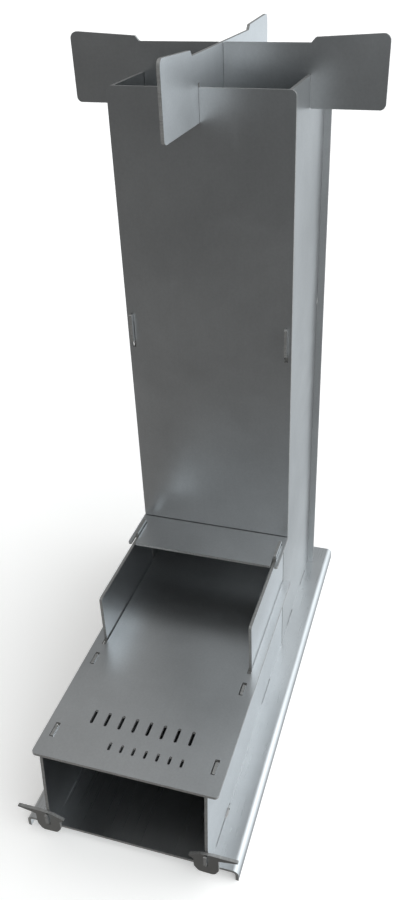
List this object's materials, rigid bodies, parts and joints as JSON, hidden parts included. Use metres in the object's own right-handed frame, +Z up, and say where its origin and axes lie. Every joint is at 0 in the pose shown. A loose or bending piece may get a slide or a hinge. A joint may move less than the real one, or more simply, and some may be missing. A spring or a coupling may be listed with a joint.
{
  "type": "rocket stove",
  "caption": "Flat-pack rocket stove: upright square chimney with crossed pot supports over a low fuel tunnel on a folded base, slotted from sheet steel.",
  "frame": {"origin": "centre of the bounding box, on the ground under the base's folded lips", "axes": "+Z up, the fuel tunnel's mouth faces -Y, +X is the right side seen from the front"},
  "size_m": [0.2036, 0.3752, 0.4554],
  "materials": {
    "base_steel": "satin zinc-coated sheet",
    "shelf_steel": "satin zinc-coated sheet",
    "wall_steel": "satin zinc-coated sheet",
    "chimney_steel": "satin zinc-coated sheet",
    "support_steel": "satin zinc-coated sheet",
    "key_steel": "satin zinc-coated sheet"
  },
  "bodies": {
    "stove": {"base_plate": "base_steel", "tunnel_wall_left": "wall_steel", "tunnel_wall_right": "wall_steel", "side_panel_left": "chimney_steel", "side_panel_right": "chimney_steel", "front_panel": "chimney_steel", "back_panel": "chimney_steel", "fuel_shelf": "shelf_steel", "hopper_cover": "shelf_steel"},
    "support_cross": {"pot_support_cross": "support_steel"},
    "support_long": {"pot_support_long": "support_steel"},
    "key_left": {"lock_key_left": "key_steel"},
    "key_right": {"lock_key_right": "key_steel"}
  },
  "joints": [
    {"name": "cross_lift", "type": "slide", "parent": "stove", "child": "support_cross", "axis": [0, 0, 1], "range_m": [0, 0.04]},
    {"name": "long_lift", "type": "slide", "parent": "support_cross", "child": "support_long", "axis": [0, 0, 1], "range_m": [0, 0.04]},
    {"name": "key_left_lift", "type": "slide", "parent": "stove", "child": "key_left", "axis": [0, 0, 1], "range_m": [0, 0.003]},
    {"name": "key_right_lift", "type": "slide", "parent": "stove", "child": "key_right", "axis": [0, 0, 1], "range_m": [0, 0.003]}
  ]
}
